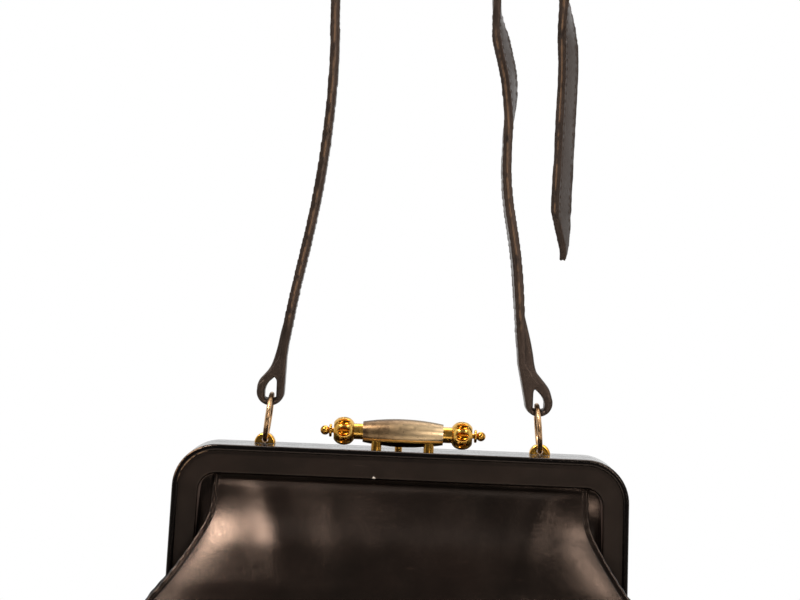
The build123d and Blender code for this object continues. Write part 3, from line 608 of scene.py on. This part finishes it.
def panel_point(u, height, side, seed):
    """A place on a panel, u from -1 to 1 across it: swollen, creased, and pulled up towards the frame."""
    half, corner, bow = along_table(POUCH, height)
    x = u * (half - PANEL_SEAM)
    depth = corner + bow * (1 - u * u)
    swell = PANEL_SWELL * (1 - abs(u) ** 8) * smooth(2, 45, height) * smooth(186, 150, height)
    crease = 0.8 * lump((x, side * 40, height), 38.0, seed)
    crease += 0.1 * lump((x, side * 9, height), 13.0, seed + 2)
    pull = 0.0
    fade = smooth(115, 150, height) * smooth(PANEL_TOP, 176, height)
    for start, lean, strength in PULL_LINES:
        line = start + lean * (PANEL_TOP - height) / 60
        pull += strength * math.exp(-(((u - line) / 0.09) ** 2)) * fade
    depth += swell + crease * smooth(PANEL_TOP, 175, height) * smooth(3, 20, height) + pull
    depth += (GRIP_DEPTH - depth) * smooth(180, 185.5, height)
    return (x, side * depth, height)


def levels(low, high, count):
    """Evenly spaced values from low to high."""
    return [low + (high - low) * i / (count - 1) for i in range(count)]


def shoulders(count):
    """Spacing from -1 to 1, closer together towards the seams."""
    return [math.sin(math.pi / 2 * t) * 0.75 + t * 0.25 for t in levels(-1, 1, count)]


def panel_grid(side, seed):
    """A whole panel, in rows from the base up to the frame."""
    return [[panel_point(u, z, side, seed) for u in shoulders(97)] for z in levels(SHEET_FOOT, PANEL_TOP, 90)]


front = leather_sheet("pouch_front_panel", panel_grid(-1, 1), False, PANEL_LEATHER)
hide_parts("front_panel_lower", "front_panel_fold", "front_panel_upper")
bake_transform(front)

rear = leather_sheet("pouch_rear_panel", panel_grid(1, 5), True, PANEL_LEATHER)
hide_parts("rear_panel")
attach(rear, "root")


# Gussets: a folded side below the hinge, and above it a corner from the seam to the frame's arm

def gusset_point(share, height, sign, side, seed):
    """A place on a gusset's half, share from 0 at the seam to 1 at its middle or at the frame's arm."""
    half, corner = along_table(POUCH, height)[:2]
    middle = along_table(GUSSET, height)[0]
    seam = Vector((half - WELT - 0.6, corner - 3.4, height))
    arc_x = seam.x + (middle - 0.6 - seam.x) * (1 - (1 - share) ** 2)
    low = Vector((arc_x, seam.y * (1 - share), height))
    edge = band_edge(height)
    turn = Vector((min(edge - 4.5, seam.x), min(17.4, seam.y), height))
    stop = Vector((edge + TUCK, PLEAT_HALF, height))
    high = seam * (1 - share) ** 2 + turn * (2 * share * (1 - share)) + stop * share**2
    point = low.lerp(high, smooth(93, 114, height))
    free = (1 - abs(2 * share - 1) ** 6) * smooth(186, 172, height)
    wave = math.sin(2 * math.pi * height / GUSSET_PUCKER + 2.0 * lump(point, 15, seed))
    pucker = 0.5 * wave * (1 - share) ** 1.5
    point.x -= (abs(pucker) + 0.5 + 0.6 * lump(point, 17.0, seed)) * free * smooth(100, 125, height)
    point.x += 0.8 * lump(point, 21.0, seed) * free * smooth(100, 85, height)
    return (sign * point.x, side * point.y, point.z)


def pleat_point(t, height, sign, seed):
    """A place on the pleat between the frame's halves, t from -1 to 1 across it."""
    open_up = smooth(95, 114, height)
    out = along_table(GUSSET, height)[0] - 0.6
    out += (band_edge(height) + TUCK - out) * open_up
    depth = PLEAT_DEPTH * open_up * (1 - abs(t) ** 1.35) * smooth(188, 176, height)
    x = out - depth + 0.8 * lump((height, t * 20, 0), 16.0, seed) * open_up * (1 - abs(t) ** 4)
    return (sign * x, t * PLEAT_HALF * open_up, height)


for sign, word in ((-1, "left"), (1, "right")):
    for side, place in ((-1, "front"), (1, "rear")):
        grid = [
            [gusset_point(s, z, sign, side, 11 + sign + 3 * side) for s in levels(0, 1, 22)]
            for z in levels(SHEET_FOOT, GUSSET_TOP, 100)
        ]
        piece = leather_sheet(f"pouch_gusset_{word}_{place}", grid, sign * side > 0, GUSSET_LEATHER)
        if side < 0:
            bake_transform(piece)
            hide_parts(f"gusset_{word}_fold", "front_gusset_corners")
        else:
            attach(piece, "root")
            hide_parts(f"gusset_{word}_lower", "rear_gusset_corners")
    grid = [
        [pleat_point(t, z, sign, 31 + sign) for t in levels(-1, 1, 31)]
        for z in levels(PLEAT_FOOT, GUSSET_TOP, 60)
    ]
    piece = leather_sheet(f"pouch_gusset_{word}_pleat", grid, sign < 0, GUSSET_LEATHER)
    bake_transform(piece)
    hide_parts(f"gusset_{word}_pleat")


# Side seams: the two leathers' edges turned in and sewn, which leaves a double ridge

def welt_frames(sign, side, seed):
    """Frames up a side seam, with its ridge a little thicker and thinner where the thread draws it in."""
    centres = []
    for z in levels(2.6, PANEL_TOP, WELT_SAMPLES):
        half, corner = along_table(POUCH, z)[:2]
        centres.append(Vector((sign * (half - WELT), side * (corner - WELT), z)))
    frames = []
    for i, centre in enumerate(centres):
        along = (centres[min(i + 1, WELT_SAMPLES - 1)] - centres[max(i - 1, 0)]).normalized()
        forward = Vector((0, side, 0))
        second = (forward - along * forward.dot(along)).normalized()
        first = along.cross(second)
        wave = math.sin(2 * math.pi * centre.z / WELT_PUCKER + lump(centre, 12, seed))
        pucker = 1 + 0.05 * wave + 0.06 * lump(centre, 9, seed)
        frames.append((centre, first, second, pucker))
    return frames


RIDGES = []
for k in range(28):
    angle = 2 * math.pi * k / 28
    reach = 0.9 + 1.3 * math.cos(angle) ** 2
    RIDGES.append((reach * math.cos(angle), reach * math.sin(angle)))

for sign, word in ((-1, "left"), (1, "right")):
    for side, place in ((-1, "front"), (1, "rear")):
        ridge = welt_frames(sign, side, 41 + sign + 3 * side)
        piece = swept(f"seam_welt_{word}_{place}", ridge, RIDGES, POUCH_LEATHER)
        if side < 0:
            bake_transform(piece)
            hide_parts("front_welts_lower", "front_welts_fold", "front_welts_upper")
        else:
            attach(piece, "root")
            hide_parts("rear_welts")


# Piping round the base

def base_edge():
    """The base's outline, a loop of points through the two panels' feet and the two gussets' feet."""
    half, corner, bow = POUCH[0][1:]
    middle = GUSSET[0][1]
    points = []
    for u in levels(-0.97, 0.97, 60):
        points.append(Vector((u * half, -(corner + bow * (1 - u * u)), 0)))
    for t in levels(-0.9, 0.9, 24):
        points.append(Vector((half - (half - middle) * (1 - t * t), t * corner, 0)))
    for u in levels(0.97, -0.97, 60):
        points.append(Vector((u * half, corner + bow * (1 - u * u), 0)))
    for t in levels(0.9, -0.9, 24):
        points.append(Vector((-half + (half - middle) * (1 - t * t), t * corner, 0)))
    return points


edge = base_edge()
frames = []
for i, point in enumerate(edge):
    along = (edge[(i + 1) % len(edge)] - edge[i - 1]).normalized()
    outward = along.cross(Vector((0, 0, 1)))
    centre = point + Vector((0, 0, PIPING_HEIGHT)) + outward * 0.2
    frames.append((centre, outward, Vector((0, 0, 1)), PIPING_RADIUS))
ROUND = [(math.cos(2 * math.pi * k / 14), math.sin(2 * math.pi * k / 14)) for k in range(14)]
piping = swept("base_piping", frames, ROUND, POUCH_LEATHER, closed=True)
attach(piping, "root")


# Strap: two sewn layers, from the part's own outline, with the edge seam, puckers and stitches added

def curve_through(rows, spacing):
    """Evenly spaced (x, z) points on a smooth curve through the rows."""
    points = [Vector((x, z)) for x, z in rows]
    out = []
    for i in range(len(points) - 1):
        before = points[max(i - 1, 0)]
        after = points[min(i + 2, len(points) - 1)]
        low, high = points[i], points[i + 1]
        count = max(2, int((high - low).length / spacing))
        for k in range(count):
            t = k / count
            t2, t3 = t * t, t * t * t
            out.append(
                low * (2 * t3 - 3 * t2 + 1) + (high - before) * 0.5 * (t3 - 2 * t2 + t)
                + high * (-2 * t3 + 3 * t2) + (after - low) * 0.5 * (t3 - t2)
            )
    out.append(points[-1])
    return out


def tail_turn(height):
    """How far the tail has turned at a height, in degrees."""
    for high, low in zip(TAIL, TAIL[1:]):
        if height >= low[1]:
            share = min(max((high[1] - height) / (high[1] - low[1]), 0.0), 1.0)
            return high[2] + share * (low[2] - high[2])
    return TAIL[-1][2]


def strap_line(rows, tail):
    """Samples of (centre, along, face normal, across) down a strap."""
    flat = curve_through(rows + [(x, z) for x, z, turned in tail[1:]], 1.0)
    samples = []
    for i, point in enumerate(flat):
        run = (flat[min(i + 1, len(flat) - 1)] - flat[max(i - 1, 0)]).normalized()
        along = Vector((run.x, 0, run.y))
        turned = 0.0
        if tail and i > len(flat) / 2:
            turned = math.radians(tail_turn(point.y))
        across = Vector((-math.sin(turned), math.cos(turned), 0))
        normal = along.cross(across).normalized()
        samples.append((Vector((point.x, STRAP_Y, point.y)), along, normal, across))
    return samples


def on_centre(mesh, samples):
    """The samples moved to the middle of the strap's own section, with their directions worked out again."""
    points = np.empty(len(mesh.vertices) * 3)
    mesh.vertices.foreach_get("co", points)
    points = points.reshape(-1, 3) / MM
    centres = []
    for centre, along, normal, across in samples:
        offset = points - np.array(centre)
        shift = offset @ np.array(along)
        near = (np.abs(shift) < 1.0) & (np.abs(offset @ np.array(normal)) < 6.0)
        found = points[near].mean(axis=0) if near.sum() > 12 else np.array(centre)
        centres.append(Vector((found[0], STRAP_Y, found[2])))
    out = []
    for i, (centre, along, normal, across) in enumerate(samples):
        span = centres[max(i - 3, 0) : i + 4]
        middle = sum(span, Vector()) / len(span)
        run = (centres[min(i + 3, len(samples) - 1)] - centres[max(i - 3, 0)]).normalized()
        across = across if abs(across.x) > 0.01 else Vector((0, 1, 0))
        normal = run.cross(across).normalized()
        out.append((middle, run, normal, across))
    return out


def turned_frames(samples, turns):
    """The samples turned about the strap's run, by degrees listed at heights."""
    if not turns:
        return samples
    out = []
    for centre, along, normal, across in samples:
        turn = Quaternion(along, math.radians(along_table(turns, centre.z)[0]))
        out.append((centre, along, turn @ normal, turn @ across))
    return out


def merged_copy(name, source):
    """A solid of the part as one smooth skin, fine enough to shape its edges."""
    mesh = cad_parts[source].data.copy()
    piece = bpy.data.objects.new(name, mesh)
    bpy.context.collection.objects.link(piece)
    mesh.materials.clear()
    mesh.materials.append(STRAP_LEATHER)
    merged = bmesh.new()
    merged.from_mesh(mesh)
    bmesh.ops.remove_doubles(merged, verts=merged.verts, dist=1e-6)
    merged.to_mesh(mesh)
    merged.free()
    apply_modifier(piece, "REMESH", mode="VOXEL", voxel_size=STRAP_VOXEL * MM, use_smooth_shade=True)
    apply_modifier(piece, "SMOOTH", factor=0.5, iterations=4)
    return piece


def measured(samples):
    """A tree that finds the nearest sample, and how far along the strap each sample lies."""
    tree = KDTree(len(samples))
    run = [0.0]
    for i, sample in enumerate(samples):
        tree.insert(sample[0] * MM, i)
        if i:
            run.append(run[-1] + (sample[0] - samples[i - 1][0]).length)
    tree.balance()
    return tree, run


def sewn_strap(name, source, samples, seed, turns=()):
    """A copy of the part's strap, given soft edges, a seam between its layers and puckers from the sewing."""
    piece = merged_copy(name, source)
    mesh = piece.data
    straight = on_centre(mesh, samples)
    samples = turned_frames(straight, turns)
    tree, run = measured(samples)
    end = run[-1]
    along_values = np.zeros(len(mesh.vertices), np.float32)
    seam_values = np.zeros(len(mesh.vertices), np.float32)
    for vertex in mesh.vertices:
        flat = Vector((vertex.co.x, STRAP_Y * MM, vertex.co.z))
        index = tree.find(flat)[1]
        centre, along, normal, across = straight[index]
        offset = vertex.co / MM - centre
        depth, side, shift = offset.dot(normal), offset.dot(across), offset.dot(along)
        normal, across = samples[index][2:]
        vertex.co = (centre + normal * depth + across * side + along * shift) * MM
        length = run[index] + shift

        # Shaping fades out at the loop and at the tip, where the leather is too thin for it.
        body = smooth(2, 16, length) * smooth(end - 1, end - 8, length)
        near_edge = smooth(STRAP_HALF - 1.3, STRAP_HALF - 0.4, abs(side)) * smooth(end - 19, end - 26, length)
        groove = math.exp(-((depth / GROOVE_HALF) ** 2)) * near_edge
        corner = smooth(0.7, 1.9, abs(depth)) * near_edge
        seam_values[vertex.index] = math.exp(-((depth / SEAM_HALF) ** 2)) * near_edge * smooth(10, 20, length)
        along_values[vertex.index] = length * MM

        wave = UNEVEN * lump((length, seed * 9, 0), 9.0, seed)
        wave += PUCKER_HEIGHT * math.sin(2 * math.pi * length / PUCKER)
        crown = STRAP_CROWN * body * math.cos(side / STRAP_HALF * math.pi / 2)
        lift = crown - CORNER_ROUND * corner + wave * body * (abs(side) / STRAP_HALF) ** 2
        inset = GROOVE_DEPTH * groove * body + 0.35 * corner
        move = normal * math.copysign(lift, depth) + across * math.copysign(-inset, side)
        from_core = max(abs(depth), abs(side) - STRAP_HALF + 1.6)
        vertex.co += move * smooth(0.3, 1.6, from_core) * MM * max(body, 0.15)
    for attribute, values in (("along", along_values), ("seam", seam_values)):
        layer = mesh.attributes.new(attribute, "FLOAT", "POINT")
        layer.data.foreach_set("value", values)
    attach(piece, "strap")
    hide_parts(source)
    return piece, samples


# A stitch's outline, from one tip to the other: place along it and radius
STITCH = [(-1.15, 0.12), (-0.85, 0.3), (0.0, 0.36), (0.85, 0.3), (1.15, 0.12)]
STITCH_SIDES = 6


def stitch_row(name, strap, samples, first, last):
    """Saddle stitches down both edges of both faces, each a short rounded thread."""
    points, faces = [], []
    run = 0.0
    next_at = 0.0
    for i in range(1, len(samples)):
        centre, along, normal, across = samples[i]
        run += (centre - samples[i - 1][0]).length
        if run < next_at or run < first or run > last:
            continue
        next_at = run + STITCH_PITCH
        for face in (-1, 1):
            for edge_side in (-1, 1):
                guess = centre + across * (edge_side * (STRAP_HALF - STITCH_INSET)) + normal * (face * 2.2)
                hit, place, skin, index = strap.closest_point_on_mesh(guess * MM)
                middle = place / MM - skin * 0.08
                if (middle - guess).length > 1.0 or abs(skin.dot(normal)) < 0.8:
                    continue
                base = len(points)
                for t, radius in STITCH:
                    for k in range(STITCH_SIDES):
                        angle = math.pi / 3 * k
                        sideways = across * (radius * math.cos(angle))
                        upward = normal * (radius * 0.8 * math.sin(angle))
                        points.append(middle + along * t + sideways + upward)
                for ring in range(len(STITCH) - 1):
                    for k in range(STITCH_SIDES):
                        a = base + ring * STITCH_SIDES + k
                        b = base + ring * STITCH_SIDES + (k + 1) % STITCH_SIDES
                        faces.append((a, b, b + STITCH_SIDES, a + STITCH_SIDES))
                tip = base + (len(STITCH) - 1) * STITCH_SIDES
                faces.append(tuple(base + k for k in range(STITCH_SIDES))[::-1])
                faces.append(tuple(tip + k for k in range(STITCH_SIDES)))
    piece = build(name, points, faces, THREAD)
    face_outwards(piece)
    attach(piece, "strap")


# A layer's section, a flat band with rounded edges
LAYER = []
for k in range(32):
    angle = 2 * math.pi * k / 32
    across, deep = math.cos(angle), math.sin(angle)
    LAYER.append((math.copysign(abs(across) ** 0.4, across), math.copysign(abs(deep) ** 0.25, deep)))

for sign, word, table in ((-1, "left", LEFT_LOOP), (1, "right", RIGHT_LOOP)):
    frames = []
    for z in levels(table[0][0], table[-1][0], 90):
        outer, inner = along_table(table, z)
        place = Vector((sign * (LOOP_X - (outer + inner) / 2), STRAP_Y, z))
        frames.append((place, Vector(((inner - outer) / 2, 0, 0)), Vector((0, STRAP_HALF - 0.3, 0)), 1.0))
    piece = swept(f"strap_loop_{word}", frames, LAYER, STRAP_LEATHER)
    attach(piece, "strap")

long_line = strap_line(LONG_STRAP, TAIL)
short_line = strap_line(SHORT_STRAP, [])
long_strap, long_line = sewn_strap("strap_long_leather", "strap_long", long_line, 61)
short_strap, short_line = sewn_strap("strap_short_leather", "strap_short", short_line, 67, SHORT_TURNS)
stitch_row("strap_long_stitches", long_strap, long_line, 8, 560)
stitch_row("strap_short_stitches", short_strap, short_line, 8, 176)


# Camera, light and floor

camera = bpy.data.objects.new("camera", bpy.data.cameras.new("camera"))
bpy.context.collection.objects.link(camera)
bpy.context.scene.camera = camera
DISTANCE = 1.15
WIDTH_SEEN = 0.4
CAMERA_X = -0.0044
CAMERA_PITCH = math.radians(4.4)
CAMERA_ROLL = math.radians(2.45)
AIM_RISE = 0.0759
camera.data.sensor_width = 36.0
camera.data.lens = 36.0 * DISTANCE / WIDTH_SEEN
camera.data.clip_start = 0.05
front_plane = -FRONT_FACE * MM
camera_height = FRAME_TOP * MM + DISTANCE * math.tan(CAMERA_PITCH)
camera.location = (CAMERA_X, front_plane - DISTANCE, camera_height)
aim = Vector((CAMERA_X, front_plane, FRAME_TOP * MM + AIM_RISE))
facing = (aim - camera.location).to_track_quat("-Z", "Y")
camera.rotation_mode = "QUATERNION"
camera.rotation_quaternion = facing @ Quaternion((0, 0, 1), CAMERA_ROLL)


def softbox(name, place, target, size, power):
    """A warm white rectangular lamp, aimed at a target."""
    lamp = bpy.data.lights.new(name, "AREA")
    lamp.shape = "RECTANGLE"
    lamp.size, lamp.size_y = size
    lamp.energy = power
    lamp.color = colour("FFF1E6")[:3]
    box = bpy.data.objects.new(name, lamp)
    bpy.context.collection.objects.link(box)
    box.location = place
    box.rotation_mode = "QUATERNION"
    box.rotation_quaternion = (Vector(target) - Vector(place)).to_track_quat("-Z", "Y")


softbox("softbox_left", (-0.6, -0.58, 1.28), (-0.1, 0, 0.16), (0.26, 0.34), 17.0)
softbox("softbox_right", (0.72, -0.6, 1.2), (0.1, 0, 0.18), (0.26, 0.34), 4.5)
softbox("softbox_front", (0.5, -1.15, 0.5), (0, 0, 0.22), (0.3, 0.3), 3.5)
softbox("softbox_top", (0.1, 0.35, 1.3), (0, 0, 0.2), (0.9, 0.5), 8.0)

world = bpy.data.worlds.new("studio_world")
bpy.context.scene.world = world
world.use_nodes = True
tree = world.node_tree
tree.nodes.clear()
path = add(tree, "LightPath", {})
shown = path.outputs["Is Camera Ray"]
for ray in ("Is Transmission Ray", "Is Glossy Ray"):
    shown = add(tree, "Math", {0: shown, 1: path.outputs[ray]}, operation="MAXIMUM").outputs[0]
# The room is dark on the viewer's side and white behind the bag, so that metal shows both.
toward = add(tree, "SeparateXYZ", {"Vector": add(tree, "TexCoord", {}).outputs["Generated"]}).outputs[1]
sockets = {"Value": toward, "From Min": -0.5, "From Max": -0.15, "To Min": 0.1, "To Max": 1.0}
room = add(tree, "MapRange", sockets, interpolation_type="SMOOTHSTEP").outputs[0]
level = add(tree, "Math", {0: room, 1: path.outputs["Is Camera Ray"]}, operation="MAXIMUM").outputs[0]
around = add(tree, "Background", {"Color": colour("FFFFFF"), "Strength": 0.35})
backdrop = add(tree, "Background", {"Color": colour("FFFFFF"), "Strength": level})
both = add(tree, "MixShader", {0: shown, 1: around.outputs[0], 2: backdrop.outputs[0]})
add(tree, "OutputWorld", {"Surface": both.outputs[0]})

bpy.ops.mesh.primitive_circle_add(vertices=96, radius=0.6, fill_type="NGON", location=(0, 0, -0.0002))
floor = bpy.context.active_object
floor.name = "floor"
material, tree, shader, coords = new_material("pale_studio_paper")
shader.inputs["Base Color"].default_value = colour("E9E7E3")
shader.inputs["Roughness"].default_value = 0.9
floor.data.materials.append(material)

bpy.context.scene.view_settings.view_transform = "Standard"

bpy.ops.object.select_all(action="DESELECT")
